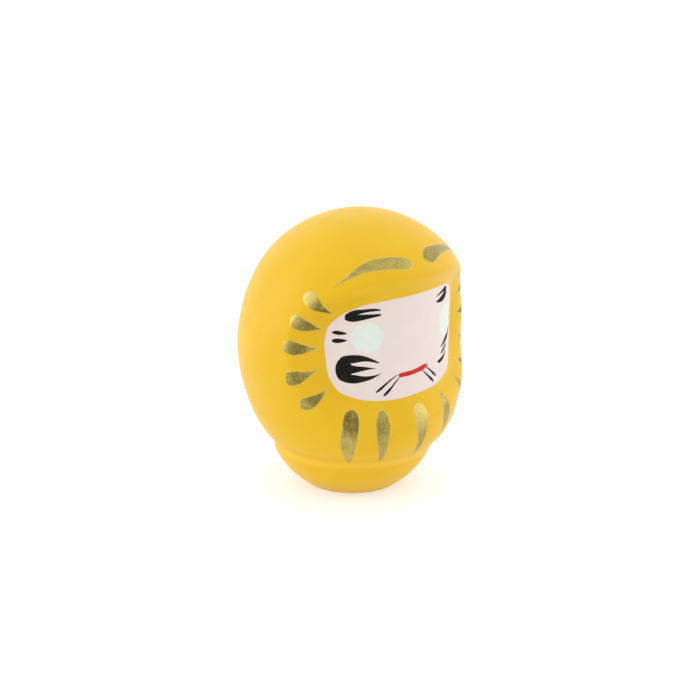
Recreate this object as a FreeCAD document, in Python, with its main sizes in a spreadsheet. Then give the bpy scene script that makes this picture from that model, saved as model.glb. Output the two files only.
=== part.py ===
import FreeCAD, Part
import math
import os

import Sketcher

# A small hollow paper daruma doll: a moulded egg-shaped shell glued on a weighted base bowl, with a sunken
# face panel and hand-painted strokes. Millimetres, +Z up, the front faces -Y, origin at the centre of the
# flat underside. An azimuth is an angle about Z from the front, positive towards +X (the doll's own left).

doc = FreeCAD.newDocument("daruma")
V = FreeCAD.Vector

# ---------------------------------------------------------------- driving dimensions
SIZES = [
    ("doll_height", 95.0), ("shell_wall", 1.8), ("paint_film", 0.2), ("crown_cut", 0.985),
    ("joint_height", 15.0), ("base_foot_radius", 14.9), ("foot_lip_up", 0.5),
    ("base_arc_radius", 27.3), ("base_rim_round", 1.2), ("spigot_draft", 0.6),
    ("base_arc_centre_out", 1.9), ("base_arc_centre_up", 23.75), ("base_rim_up", 13.6),
    ("spigot_radius", 22.4), ("spigot_rise", 4.0), ("mouth_radius", 22.9), ("mouth_cut_height", 12.0),
    ("glue_up", 1.2),
    ("strip_low", 8.6), ("strip_thick", 0.3),
    ("face_radius", 32.4), ("face_half_width", 30.7), ("face_half_height", 16.6), ("face_centre_up", 54.7),
    ("face_power", 3.1), ("face_tilt", 4.4), ("face_slope", 9.1),
    ("slit_width", 0.5), ("slit_low", 24.0), ("slit_high", 86.0), ("seam_strip_width", 7.0),
    ("slit_reach", 60.0), ("seam_strip_low", 21.0), ("seam_strip_high", 88.0), ("pad_reach", 60.0),
]

# Level sections of the bare egg shape: height, radius, and how far the section's centre leans forward.
SECTIONS = [
    (15.0, 26.15, 1.4), (18.0, 29.6, 1.3), (22.0, 32.45, 1.2), (27.0, 34.75, 0.7), (32.0, 36.3, 0.15),
    (42.0, 38.4, -0.2), (52.0, 39.3, 0.75), (62.0, 38.2, 2.1), (72.0, 35.4, 3.0), (80.0, 31.05, 3.9),
    (87.0, 23.85, 4.1), (92.5, 13.6, 4.1),
]
CROWN_LEAN = 4.0

sheet = doc.addObject("Spreadsheet::Sheet", "sizes")
row = 0
for name, value in SIZES:
    row += 1
    sheet.set("A%d" % row, name)
    sheet.set("B%d" % row, str(value))
    sheet.setAlias("B%d" % row, name)
for number, section in enumerate(SECTIONS):
    letter = chr(ord("a") + number)
    for word, value in zip(("section_up_", "section_radius_", "section_lean_"), section):
        row += 1
        sheet.set("A%d" % row, word + letter)
        sheet.set("B%d" % row, str(value))
        sheet.setAlias("B%d" % row, word + letter)
doc.recompute()


def size(name):
    return float(getattr(sheet, name))


# ---------------------------------------------------------------- the moulded surface
def natural_spline(xs, ys):
    """Natural cubic spline through the points, as a function of x."""
    count = len(xs)
    lower, middle, upper, right = [0.0] * count, [1.0] * count, [0.0] * count, [0.0] * count
    for i in range(1, count - 1):
        before = xs[i] - xs[i - 1]
        after = xs[i + 1] - xs[i]
        lower[i] = before
        middle[i] = 2.0 * (before + after)
        upper[i] = after
        right[i] = 6.0 * ((ys[i + 1] - ys[i]) / after - (ys[i] - ys[i - 1]) / before)
    for i in range(1, count):
        share = lower[i] / middle[i - 1]
        middle[i] -= share * upper[i - 1]
        right[i] -= share * right[i - 1]
    bend = [0.0] * count
    bend[-1] = right[-1] / middle[-1]
    for i in range(count - 2, -1, -1):
        bend[i] = (right[i] - upper[i] * bend[i + 1]) / middle[i]

    def at(x):
        i = 0
        while i < count - 2 and x > xs[i + 1]:
            i += 1
        span = xs[i + 1] - xs[i]
        gone = x - xs[i]
        left = xs[i + 1] - x
        curve = (bend[i] * left ** 3 + bend[i + 1] * gone ** 3) / (6.0 * span)
        start = (ys[i] / span - bend[i] * span / 6.0) * left
        end = (ys[i + 1] / span - bend[i + 1] * span / 6.0) * gone
        return curve + start + end

    return at


letters = [chr(ord("a") + n) for n in range(len(SECTIONS))]
ups = [size("section_up_" + w) for w in letters] + [size("doll_height")]
radii = [size("section_radius_" + w) for w in letters] + [0.0]
leans = [size("section_lean_" + w) for w in letters] + [CROWN_LEAN]

# the meridian is carried over the crown and down the far side, so it is smooth at the top
over_ups = ups + ups[-2::-1]
over_radii = radii + [-r for r in radii[-2::-1]]
chord = [0.0]
for i in range(1, len(over_ups)):
    chord.append(chord[-1] + math.hypot(over_radii[i] - over_radii[i - 1], over_ups[i] - over_ups[i - 1]))
radius_at = natural_spline(chord, over_radii)
up_at = natural_spline(chord, over_ups)
lean_at = natural_spline(ups, leans)
CROWN = chord[len(ups) - 1]


def smooth(share):
    share = max(0.0, min(1.0, share))
    return share * share * (3.0 - 2.0 * share)


def outside_face(around, up):
    """How far a point of the unrolled face is outside the face outline (negative inside)."""
    rise = up - size("face_centre_up")
    tilt = math.radians(size("face_tilt"))
    power = size("face_power")
    across = around * math.cos(tilt) + rise * math.sin(tilt)
    along = rise * math.cos(tilt) - around * math.sin(tilt)
    sides = abs(across / size("face_half_width")) ** power
    ends = abs(along / size("face_half_height")) ** power
    ratio = (sides + ends) ** (1.0 / power)
    return (ratio - 1.0) * math.hypot(around, rise) / max(ratio, 1e-6)


def sunk(reach, azimuth, up, grown):
    """The radius after the face has been pressed in."""
    floor = size("face_radius") + grown
    depth = smooth(1.0 - outside_face(size("face_radius") * azimuth, up) / size("face_slope"))
    return reach - max(reach - floor, 0.0) * depth


def shell_point(share, turn, grown):
    """A point of the shell: share 0..1 from the joint to the crown, turn about the section's centre."""
    here = share * CROWN
    step = 1e-3
    run = radius_at(here + step) - radius_at(here - step)
    climb = up_at(here + step) - up_at(here - step)
    length = math.hypot(run, climb)
    radius = radius_at(here) + grown * climb / length
    up = up_at(here) - grown * run / length
    lean = lean_at(up)
    x = radius * math.sin(turn)
    y = -lean - radius * math.cos(turn)
    azimuth = math.atan2(x, -y)
    reach = sunk(math.hypot(x, y), azimuth, up, grown)
    return V(reach * math.sin(azimuth), -reach * math.cos(azimuth), up)


def reach_at(azimuth, up):
    """Radius of the outer surface at an azimuth and height."""
    low, high = 0.0, 1.0
    for _ in range(40):
        middle = 0.5 * (low + high)
        if up_at(middle * CROWN) < up:
            low = middle
        else:
            high = middle
    radius = radius_at(low * CROWN)
    lean = lean_at(up)
    inner = max(radius ** 2 - (lean * math.sin(azimuth)) ** 2, 0.0)
    return sunk(lean * math.cos(azimuth) + math.sqrt(inner), azimuth, up, 0.0)


RINGS = 36
POINTS = 96
STROKE_STEPS = 16
OVAL_POINTS = 24
FACE_POINTS = 64


def egg(name, grown):
    """The solid inside the shell's outer surface, grown outwards by a distance."""
    wires = []
    for ring in range(RINGS):
        share = size("crown_cut") * ring / (RINGS - 1)
        points = [shell_point(share, -math.pi + 2.0 * math.pi * k / POINTS, grown) for k in range(POINTS)]
        level = sum(p.z for p in points) / POINTS
        curve = Part.BSplineCurve()
        flat = [V(p.x, p.y, level) for p in points]
        curve.interpolate(Points=flat, PeriodicFlag=True, Parameters=[k / POINTS for k in range(POINTS + 1)])
        wires.append(Part.Wire([curve.toShape()]))
    thing = doc.addObject("Part::Feature", name)
    thing.Shape = Part.makeLoft(wires, True, False, False)
    return thing


# ---------------------------------------------------------------- helpers for bodies and sketches
def plane_of(body, role):
    for feature in body.Origin.OriginFeatures:
        if feature.Role == role:
            return feature
    raise ValueError(role)


def new_body(name, azimuth=0.0):
    body = doc.addObject("PartDesign::Body", name)
    body.Placement = FreeCAD.Placement(V(0, 0, 0), FreeCAD.Rotation(V(0, 0, 1), azimuth))
    return body


def new_sketch(body, name):
    sketch = body.newObject("Sketcher::SketchObject", name)
    sketch.AttachmentSupport = (plane_of(body, "XZ_Plane"), [""])
    sketch.MapMode = "FlatFace"
    return sketch


def spline_edge(points):
    curve = Part.BSplineCurve()
    curve.interpolate([V(x, z, 0) for x, z in points])
    return curve


def pad(body, sketch, name):
    feature = body.newObject("PartDesign::Pad", name)
    feature.Profile = sketch
    feature.setExpression("Length", "sizes.pad_reach")


def revolve(body, sketch, name):
    feature = body.newObject("PartDesign::Revolution", name)
    feature.Profile = sketch
    feature.ReferenceAxis = (sketch, ["V_Axis"])
    feature.Angle = 360.0


def boolean(kind, name, base, tool):
    feature = doc.addObject("Part::" + kind, name)
    feature.Base = base
    feature.Tool = tool
    return feature


NODES = []


def node(feature, name):
    feature.Label = name
    NODES.append((name, feature))
    return feature


# ---------------------------------------------------------------- shell, slit and inner glue
egg_outer = egg("egg_outer", 0.0)
egg_inner = egg("egg_inner", -size("shell_wall"))
egg_painted = egg("egg_painted", size("paint_film"))
egg_marked = egg("egg_marked", 2.0 * size("paint_film"))

mouth = doc.addObject("Part::Cylinder", "shell_mouth")
mouth.setExpression("Radius", "sizes.mouth_radius")
mouth.setExpression("Height", "sizes.mouth_cut_height")
mouth.setExpression("Placement.Base.z", "sizes.joint_height - sizes.mouth_cut_height / 2")

slit = doc.addObject("Part::Box", "back_slit")
slit.setExpression("Length", "sizes.slit_width")
slit.setExpression("Width", "sizes.slit_reach")
slit.setExpression("Height", "sizes.slit_high - sizes.slit_low")
slit.setExpression("Placement.Base.x", "-sizes.slit_width / 2")
slit.setExpression("Placement.Base.z", "sizes.slit_low")

hollow = boolean("Cut", "egg_hollow", egg_outer, egg_inner)
opened = boolean("Cut", "egg_opened", hollow, mouth)
shell = node(boolean("Cut", "shell_cut", opened, slit), "paper_shell")
seam_glue = node(boolean("Common", "seam_glue", opened, slit), "back_slit_glue")

# ---------------------------------------------------------------- base weight, joint strip and glue ring
centre_out = size("base_arc_centre_out")
centre_up = size("base_arc_centre_up")
arc_radius = size("base_arc_radius")
joint = size("joint_height")


def arc_out(up, extra=0.0):
    """Radius of the base bowl's outside at a height."""
    return centre_out + math.sqrt(max((arc_radius + extra) ** 2 - (centre_up - up) ** 2, 0.0))


def line(sketch, start, end):
    return sketch.addGeometry(Part.LineSegment(V(start[0], start[1], 0), V(end[0], end[1], 0)), False)


def arc(sketch, start, middle, end):
    made = Part.Arc(V(start[0], start[1], 0), V(middle[0], middle[1], 0), V(end[0], end[1], 0))
    return sketch.addGeometry(made, False)


thick = size("strip_thick")
low = size("strip_low")
rim_up = size("base_rim_up")
middle_up = 0.5 * (low + rim_up)
lip_up = size("foot_lip_up")
rim = (arc_out(rim_up), rim_up)
strip_low_out = (arc_out(low), low)
strip_mid_out = (arc_out(middle_up), middle_up)
strip_low_in = (arc_out(low + 0.2, -thick), low + 0.2)
strip_mid_in = (arc_out(middle_up, -thick), middle_up)
strip_high_in = (arc_out(rim_up, -thick), rim_up)

# the bowl has a shallow seat for the paper strip, and a low flat-topped spigot that goes into the shell's mouth
base_body = new_body("base_weight_body")
base_sketch = new_sketch(base_body, "base_profile")
foot = (size("base_foot_radius"), 0.0)
foot_lip = (arc_out(lip_up), lip_up)
belly_up = 0.5 * (lip_up + low)
rim_top = (rim[0] - size("base_rim_round"), joint)
rim_corner = (rim[0] - 0.25 * size("base_rim_round"), 0.5 * (rim_up + joint) + 0.25)
spigot_foot = (size("spigot_radius"), joint)
spigot_edge = (size("spigot_radius") - size("spigot_draft"), joint + size("spigot_rise"))
spigot_top = (0.0, joint + size("spigot_rise"))
line(base_sketch, (0, 0), foot)
arc(base_sketch, foot, (0.35 * foot[0] + 0.65 * foot_lip[0], 0.26 * lip_up), foot_lip)
arc(base_sketch, foot_lip, (arc_out(belly_up), belly_up), strip_low_out)
line(base_sketch, strip_low_out, strip_low_in)
arc(base_sketch, strip_low_in, strip_mid_in, strip_high_in)
line(base_sketch, strip_high_in, rim)
arc(base_sketch, rim, rim_corner, rim_top)
line(base_sketch, rim_top, spigot_foot)
line(base_sketch, spigot_foot, spigot_edge)
line(base_sketch, spigot_edge, spigot_top)
line(base_sketch, spigot_top, (0, 0))
doc.recompute()
revolve(base_body, base_sketch, "base_turned")
node(base_body, "base_weight")

strip_body = new_body("joint_strip_body")
strip_sketch = new_sketch(strip_body, "joint_strip_profile")
arc(strip_sketch, strip_low_out, strip_mid_out, rim)
line(strip_sketch, rim, strip_high_in)
arc(strip_sketch, strip_high_in, strip_mid_in, strip_low_in)
line(strip_sketch, strip_low_in, strip_low_out)
doc.recompute()
revolve(strip_body, strip_sketch, "joint_strip_turned")
node(strip_body, "joint_paper_strip")

glue_body = new_body("glue_ring_body")
glue_sketch = new_sketch(glue_body, "glue_profile")
spigot = size("spigot_radius")
glue_out = size("mouth_radius")
glue_top = joint + size("glue_up")
line(glue_sketch, (spigot, joint), (glue_out, joint))
line(glue_sketch, (glue_out, joint), (glue_out, glue_top))
spigot_there = spigot - size("spigot_draft") * size("glue_up") / size("spigot_rise")
line(glue_sketch, (glue_out, glue_top), (spigot_there, glue_top))
line(glue_sketch, (spigot_there, glue_top), (spigot, joint))
doc.recompute()
revolve(glue_body, glue_sketch, "glue_turned")
node(glue_body, "glue_ring")

# ---------------------------------------------------------------- painted strokes
paint_skin = boolean("Cut", "paint_skin", egg_painted, egg_outer)
mark_skin = boolean("Cut", "mark_skin", egg_marked, egg_painted)


def brush_sides(stroke, anchor):
    """The two sides of a brush stroke, in the plane that faces the anchor azimuth.

    stroke: azimuth, height and half-width along the stroke, from its head to its tip.
    """
    flat = []
    for azimuth, up, _ in stroke:
        angle = math.radians(azimuth)
        flat.append((reach_at(angle, up) * math.sin(angle - math.radians(anchor)), up))
    halves = [point[2] for point in stroke]
    run = [0.0]
    for i in range(1, len(flat)):
        run.append(run[-1] + math.hypot(flat[i][0] - flat[i - 1][0], flat[i][1] - flat[i - 1][1]))
    along_x = natural_spline(run, [point[0] for point in flat])
    along_z = natural_spline(run, [point[1] for point in flat])
    half_at = natural_spline(run, halves)
    one, other = [], []
    for k in range(STROKE_STEPS + 1):
        share = 0.5 - 0.5 * math.cos(math.pi * k / STROKE_STEPS)
        here = share * run[-1]
        x, z = along_x(here), along_z(here)
        dx = along_x(here + 0.01) - along_x(here - 0.01)
        dz = along_z(here + 0.01) - along_z(here - 0.01)
        length = math.hypot(dx, dz)
        half = max(half_at(here), 0.02)
        for end, gone in ((halves[0], here), (halves[-1], run[-1] - here)):
            half *= math.sqrt(max(1.0 - max(1.0 - gone / end, 0.0) ** 2, 0.0))
        one.append((x - half * dz / length, z + half * dx / length))
        other.append((x + half * dz / length, z - half * dx / length))
    return one, other


def oval(centre, half_across, half_up, anchor):
    """A closed oval outline about an azimuth and height."""
    angle = math.radians(centre[0])
    reach = reach_at(angle, centre[1])
    turned = angle - math.radians(anchor)
    points = []
    for k in range(OVAL_POINTS):
        step = 2.0 * math.pi * k / OVAL_POINTS
        around = turned + half_across * math.cos(step) / reach
        points.append((reach * math.sin(around), centre[1] + half_up * math.sin(step)))
    return points


def paint(name, strokes, skin, ovals=()):
    """One painted mark: every stroke padded outwards as a prism, kept where it meets the paint film."""
    azimuths = [point[0] for stroke in strokes for point in stroke] + [shape[0][0] for shape in ovals]
    anchor = 0.5 * (min(azimuths) + max(azimuths))
    body = new_body(name + "_body", anchor)
    for number, stroke in enumerate(strokes):
        sketch = new_sketch(body, "%s_outline_%d" % (name, number + 1))
        one, other = brush_sides(stroke, anchor)
        sketch.addGeometry(spline_edge(one), False)
        sketch.addGeometry(spline_edge(other), False)
        doc.recompute()
        pad(body, sketch, "%s_prism_%d" % (name, number + 1))
        doc.recompute()
    for number, (centre, across, tall) in enumerate(ovals):
        sketch = new_sketch(body, "%s_oval_%d" % (name, number + 1))
        curve = Part.BSplineCurve()
        curve.interpolate(Points=[V(x, z, 0) for x, z in oval(centre, across, tall, anchor)], PeriodicFlag=True)
        sketch.addGeometry(curve, False)
        doc.recompute()
        pad(body, sketch, "%s_oval_prism_%d" % (name, number + 1))
        doc.recompute()
    return node(boolean("Common", name + "_film", body, skin), name)


# the pale face coat fills the face outline
face_body = new_body("face_coat_body")
face_sketch = new_sketch(face_body, "face_outline")
tilt = math.radians(size("face_tilt"))
corner = 2.0 / size("face_power")
outline = []
for k in range(FACE_POINTS):
    step = 2.0 * math.pi * k / FACE_POINTS
    sides = math.copysign(abs(math.cos(step)) ** corner, math.cos(step)) * size("face_half_width")
    ends = math.copysign(abs(math.sin(step)) ** corner, math.sin(step)) * size("face_half_height")
    around = (sides * math.cos(tilt) - ends * math.sin(tilt)) / size("face_radius")
    up = size("face_centre_up") + sides * math.sin(tilt) + ends * math.cos(tilt)
    outline.append(V(size("face_radius") * math.sin(around), up, 0))
face_curve = Part.BSplineCurve()
face_curve.interpolate(Points=outline, PeriodicFlag=True)
face_sketch.addGeometry(face_curve, False)
doc.recompute()
pad(face_body, face_sketch, "face_prism")
node(boolean("Common", "face_coat_film", face_body, paint_skin), "face_coat")

# Each stroke runs from its head to its tip: azimuth in degrees, height and half-width in mm.
GOLD_BROW_RIGHT = [(-4.9, 81.5, 0.9), (-7.8, 81.6, 1.6), (-12.7, 82.0, 1.85), (-20.0, 82.15, 1.8),
                   (-27.0, 81.8, 1.65), (-33.0, 81.0, 1.3), (-38.0, 79.5, 0.85), (-43.0, 77.6, 0.4),
                   (-48.6, 75.4, 0.08)]
GOLD_BROW_LEFT = [(4.2, 82.0, 0.8), (7.0, 82.3, 1.6), (11.7, 83.1, 2.0), (19.0, 83.6, 1.65), (30.0, 83.4, 1.25),
                  (39.0, 82.3, 0.9), (46.0, 80.0, 0.45), (51.0, 77.8, 0.08)]
CHEEKS_RIGHT = [
    [(-61.0, 74.0), (-56.4, 70.2), (-48.6, 66.3), 2.5],
    [(-67.8, 65.9), (-62.4, 63.0), (-54.6, 61.1), 2.4],
    [(-71.6, 57.2), (-65.4, 55.4), (-56.8, 55.1), 2.35],
    [(-71.4, 45.6), (-65.2, 46.2), (-57.0, 48.3), 2.5],
    [(-65.0, 37.5), (-58.4, 38.5), (-51.2, 43.0), 2.25],
]
CHEEKS_LEFT = [
    [(61.0, 76.2), (56.2, 73.4), (52.3, 70.2), 2.0],
    [(69.5, 68.6), (64.6, 66.4), (59.5, 64.2), 2.0],
    [(73.5, 58.6), (67.5, 57.9), (60.3, 57.4), 2.0],
    [(75.0, 46.2), (69.0, 47.6), (62.5, 49.1), 2.1],
    [(66.0, 38.6), (59.5, 40.3), (52.3, 43.0), 2.0],
]
CHINS = [
    [(-38.2, 35.7, 1.1), (-38.8, 34.2, 2.2), (-39.2, 30.7, 2.75), (-40.2, 26.0, 2.9), (-40.8, 21.0, 2.1),
     (-40.8, 17.2, 1.1), (-40.6, 15.1, 0.35)],
    [(-22.0, 35.0, 0.8), (-22.4, 33.2, 1.95), (-22.6, 30.0, 2.45), (-22.1, 25.3, 2.1), (-21.2, 20.5, 1.4),
     (-20.5, 17.2, 0.8), (-20.2, 15.15, 0.3)],
    [(1.5, 35.5, 0.8), (1.0, 34.2, 2.1), (0.2, 30.8, 2.75), (1.75, 26.2, 2.15), (3.3, 20.7, 1.35),
     (4.5, 17.2, 0.65), (5.2, 15.3, 0.2)],
    [(21.0, 36.2, 0.6), (20.4, 34.6, 1.5), (20.6, 31.5, 2.15), (22.0, 28.2, 2.3), (23.2, 25.2, 1.5),
     (22.8, 23.4, 0.7), (22.0, 22.3, 0.2)],
    [(41.4, 38.3, 0.6), (42.0, 36.5, 1.5), (43.0, 33.0, 2.2), (44.0, 28.5, 2.1), (45.5, 22.5, 1.4),
     (46.5, 17.8, 0.6), (46.8, 16.0, 0.2)],
]
BROW_RIGHT = [
    [(-42.8, 65.5, 0.5), (-40.0, 66.1, 0.95), (-36.0, 66.9, 0.95), (-33.0, 67.2, 0.72), (-28.5, 67.5, 0.6),
     (-25.0, 67.5, 0.48), (-22.3, 67.35, 0.26)],
    [(-42.9, 65.1, 0.6), (-39.5, 64.9, 1.05), (-35.5, 65.1, 1.12), (-31.0, 65.4, 0.92), (-26.5, 65.65, 0.64),
     (-23.8, 65.8, 0.5), (-22.0, 65.9, 0.28)],
]
BROW_LEFT = [
    [(32.4, 69.8, 0.6), (30.2, 70.0, 0.85), (27.0, 69.8, 0.66), (22.5, 69.25, 0.48), (17.6, 68.4, 0.15)],
    [(32.2, 69.1, 0.6), (30.3, 68.5, 1.15), (27.2, 67.6, 1.3), (23.2, 67.0, 0.95), (20.5, 66.85, 0.6),
     (17.9, 66.9, 0.3)],
]
BEARD_RIGHT = [
    [(-45.4, 50.4, 0.9), (-43.5, 51.2, 1.4), (-41.0, 51.6, 1.5), (-38.0, 51.8, 1.45), (-33.0, 51.9, 1.1),
     (-28.3, 51.35, 0.65), (-25.5, 50.75, 0.45), (-23.0, 50.2, 0.22)],
    [(-46.4, 48.4, 1.0), (-44.0, 48.5, 1.7), (-40.0, 48.45, 1.65), (-36.0, 48.45, 1.15), (-32.0, 48.6, 0.75),
     (-28.5, 48.6, 0.4), (-24.8, 48.6, 0.12)],
    [(-45.2, 46.4, 0.9), (-43.5, 45.8, 1.35), (-41.0, 45.4, 1.5), (-37.0, 45.2, 1.5), (-33.0, 45.2, 1.1),
     (-29.5, 45.4, 0.8), (-26.0, 45.9, 0.48), (-21.2, 47.0, 0.1)],
]
BEARD_BLOB_RIGHT = ((-43.3, 48.35), 2.75, 4.05)
BEARD_LEFT = [
    [(39.6, 56.6, 0.3), (38.2, 55.3, 0.8), (35.3, 53.6, 1.15), (30.0, 52.1, 0.78), (27.0, 51.45, 0.52),
     (24.3, 50.8, 0.25)],
    [(34.2, 51.1, 0.2), (32.6, 50.6, 0.5), (29.5, 49.8, 0.66), (27.0, 49.3, 0.55), (24.3, 48.8, 0.28)],
    [(32.6, 49.0, 0.2), (31.2, 48.2, 0.5), (28.6, 47.2, 0.72), (25.0, 46.6, 0.82), (22.5, 46.4, 0.7),
     (20.3, 46.4, 0.45)],
]
MOUTH = [(-11.7, 45.4, 0.7), (-8.0, 45.5, 0.86), (-2.0, 45.7, 0.86), (4.0, 46.2, 0.94), (7.4, 46.6, 0.9),
         (9.9, 47.0, 0.5)]
WHISKERS_RIGHT = [
    [(-25.3, 40.5, 0.3), (-24.0, 41.0, 0.46), (-19.0, 43.2, 0.42), (-14.5, 45.0, 0.3), (-11.7, 45.9, 0.15)],
    [(-20.8, 39.1, 0.3), (-19.8, 39.6, 0.5), (-15.5, 42.0, 0.42), (-12.2, 44.1, 0.3), (-10.2, 45.1, 0.15)],
]
WHISKERS_LEFT = [
    [(19.5, 41.9, 0.25), (18.4, 42.3, 0.42), (13.5, 44.4, 0.4), (10.0, 45.9, 0.3), (8.0, 46.8, 0.15)],
    [(16.8, 40.2, 0.25), (15.8, 40.7, 0.44), (10.8, 43.1, 0.42), (7.2, 44.8, 0.3), (5.2, 45.8, 0.15)],
]
DASHES_RIGHT = [
    [(-50.0, 60.3, 0.2), (-48.6, 60.35, 0.6), (-46.5, 60.3, 0.76), (-44.0, 60.2, 0.62), (-41.2, 60.1, 0.16)],
    [(-50.2, 57.6, 0.25), (-48.8, 57.65, 0.7), (-46.5, 57.7, 0.84), (-44.0, 57.8, 0.66), (-41.2, 57.9, 0.16)],
]
DASHES_LEFT = [
    [(52.6, 60.3, 0.2), (51.4, 60.35, 0.55), (49.8, 60.3, 0.66), (48.2, 60.2, 0.5), (46.6, 60.1, 0.14)],
    [(52.6, 57.6, 0.2), (51.4, 57.65, 0.6), (49.8, 57.7, 0.72), (48.2, 57.8, 0.55), (46.6, 57.9, 0.14)],
]
EYE_RIGHT = ((-30.1, 58.8), 5.45, 5.2)
EYE_LEFT = ((32.0, 59.4), 5.9, 5.7)
TEARDROP = [(0.0, 0.35), (0.1, 0.82), (0.28, 1.0), (0.48, 0.9), (0.68, 0.58), (0.84, 0.26), (1.0, 0.05)]


def teardrop(head, middle, tip, wide):
    """A cheek stroke: round at its head and thin at its tip."""
    stroke = []
    for share, fat in TEARDROP:
        first, second, third = (1 - share) ** 2, 2 * (1 - share) * share, share ** 2
        bend = [2 * m - 0.5 * (h + t) for h, m, t in zip(head, middle, tip)]
        stroke.append((first * head[0] + second * bend[0] + third * tip[0],
                       first * head[1] + second * bend[1] + third * tip[1], fat * wide))
    return stroke


paint("eye_white_right", [], mark_skin, [EYE_RIGHT])
paint("eye_white_left", [], mark_skin, [EYE_LEFT])
paint("black_brow_right", BROW_RIGHT, mark_skin)
paint("black_brow_left", BROW_LEFT, mark_skin)
paint("beard_right", BEARD_RIGHT, mark_skin, [BEARD_BLOB_RIGHT])
for place, stroke in zip(("upper", "middle", "lower"), BEARD_LEFT):
    paint("beard_left_" + place, [stroke], mark_skin)
paint("mouth", [MOUTH], mark_skin)
for place, right, left in zip(("upper", "lower"), WHISKERS_RIGHT, WHISKERS_LEFT):
    paint("whisker_right_" + place, [right], mark_skin)
    paint("whisker_left_" + place, [left], mark_skin)
for place, right, left in zip(("upper", "lower"), DASHES_RIGHT, DASHES_LEFT):
    paint("temple_dash_right_" + place, [right], mark_skin)
    paint("temple_dash_left_" + place, [left], mark_skin)
paint("gold_brow_right", [GOLD_BROW_RIGHT], paint_skin)
paint("gold_brow_left", [GOLD_BROW_LEFT], paint_skin)
for number, (right, left) in enumerate(zip(CHEEKS_RIGHT, CHEEKS_LEFT)):
    paint("gold_cheek_right_%d" % (number + 1), [teardrop(*right)], paint_skin)
    paint("gold_cheek_left_%d" % (number + 1), [teardrop(*left)], paint_skin)
for number, stroke in enumerate(CHINS):
    paint("gold_chin_%d" % (number + 1), [stroke], paint_skin)

# ---------------------------------------------------------------- paper strip over the back slit
seam_body = new_body("back_seam_body", 180.0)
seam_sketch = new_sketch(seam_body, "back_seam_outline")
half = 0.5 * size("seam_strip_width")
bottom = size("seam_strip_low")
top = size("seam_strip_high")
corners = [(-half, bottom), (half, bottom), (half, top), (-half, top)]
for number, corner in enumerate(corners):
    line(seam_sketch, corner, corners[(number + 1) % 4])
doc.recompute()
pad(seam_body, seam_sketch, "back_seam_prism")
node(boolean("Common", "back_seam_film", seam_body, paint_skin), "back_seam_strip")

# ---------------------------------------------------------------- recompute, check and write
doc.recompute()
for thing in doc.Objects:
    if "Invalid" in thing.State or "Error" in thing.State:
        raise RuntimeError("%s: %s" % (thing.Name, thing.State))
for name, thing in NODES:
    shape = thing.Shape
    if shape.isNull() or not shape.isValid() or shape.Volume <= 0:
        raise RuntimeError("bad shape: " + name)
    if len(shape.Solids) != 1:
        raise RuntimeError("%s has %d solids" % (name, len(shape.Solids)))

os.makedirs("parts", exist_ok=True)
for name, thing in NODES:
    thing.Shape.exportStep("parts/%s.step" % name)
    print(name, round(thing.Shape.Volume, 2))
print(len(NODES), "nodes")
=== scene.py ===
import math

import bpy
import numpy as np
from mathutils import Matrix, Vector


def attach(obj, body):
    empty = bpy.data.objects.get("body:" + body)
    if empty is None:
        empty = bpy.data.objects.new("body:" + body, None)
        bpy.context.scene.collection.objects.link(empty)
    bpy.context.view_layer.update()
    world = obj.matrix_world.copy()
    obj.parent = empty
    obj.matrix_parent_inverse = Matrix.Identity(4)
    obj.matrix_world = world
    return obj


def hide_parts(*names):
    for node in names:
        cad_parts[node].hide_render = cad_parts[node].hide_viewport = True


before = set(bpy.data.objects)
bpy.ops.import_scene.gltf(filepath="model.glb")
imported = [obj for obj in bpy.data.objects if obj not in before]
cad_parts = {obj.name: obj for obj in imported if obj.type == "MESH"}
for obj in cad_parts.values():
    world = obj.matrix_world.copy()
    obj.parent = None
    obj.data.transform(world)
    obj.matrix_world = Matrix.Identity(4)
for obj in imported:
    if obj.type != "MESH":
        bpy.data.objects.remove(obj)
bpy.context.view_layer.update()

# A small hollow paper daruma doll with a sunken painted face, on a weighted base bowl.
# Lengths are millimetres until mesh() turns them into metres. An azimuth is an angle about Z from the
# front (-Y), positive towards +X, the doll's own left.

MM = 0.001

# ---------------------------------------------------------------- the shape, the same figures as the CAD
DOLL_HEIGHT = 95.0
JOINT_HEIGHT = 15.0
FACE_RADIUS = 32.4
FACE_HALF_WIDTH = 30.7
FACE_HALF_HEIGHT = 16.6
FACE_CENTRE_UP = 54.7
FACE_POWER = 3.1
FACE_TILT = math.radians(4.4)
FACE_SLOPE = 9.1
SECTIONS = [
    (15.0, 26.15, 1.4), (18.0, 29.6, 1.3), (22.0, 32.45, 1.2), (27.0, 34.75, 0.7), (32.0, 36.3, 0.15),
    (42.0, 38.4, -0.2), (52.0, 39.3, 0.75), (62.0, 38.2, 2.1), (72.0, 35.4, 3.0), (80.0, 31.05, 3.9),
    (87.0, 23.85, 4.1), (92.5, 13.6, 4.1),
]
CROWN_LEAN = 4.0
BASE_ARC_RADIUS = 27.3
BASE_ARC_CENTRE_OUT = 1.9
BASE_ARC_CENTRE_UP = 23.75
BASE_FOOT_RADIUS = 14.9
FOOT_LIP_UP = 0.5
STRIP_LOW = 8.6
SEAM_STRIP_WIDTH = 7.0
SEAM_STRIP_LOW = 21.0
SEAM_STRIP_HIGH = 88.0
# the paper's waves: depth, how many, the shortest and how much longer each is, and the fade above the joint
SWELL_DEPTH = 0.034
SWELL_WAVES = 9
SWELL_SHORTEST = 11.0
SWELL_STEP = 3.1
SWELL_FADE = 8.0
GOLDEN_TURN = 2.399963


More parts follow.
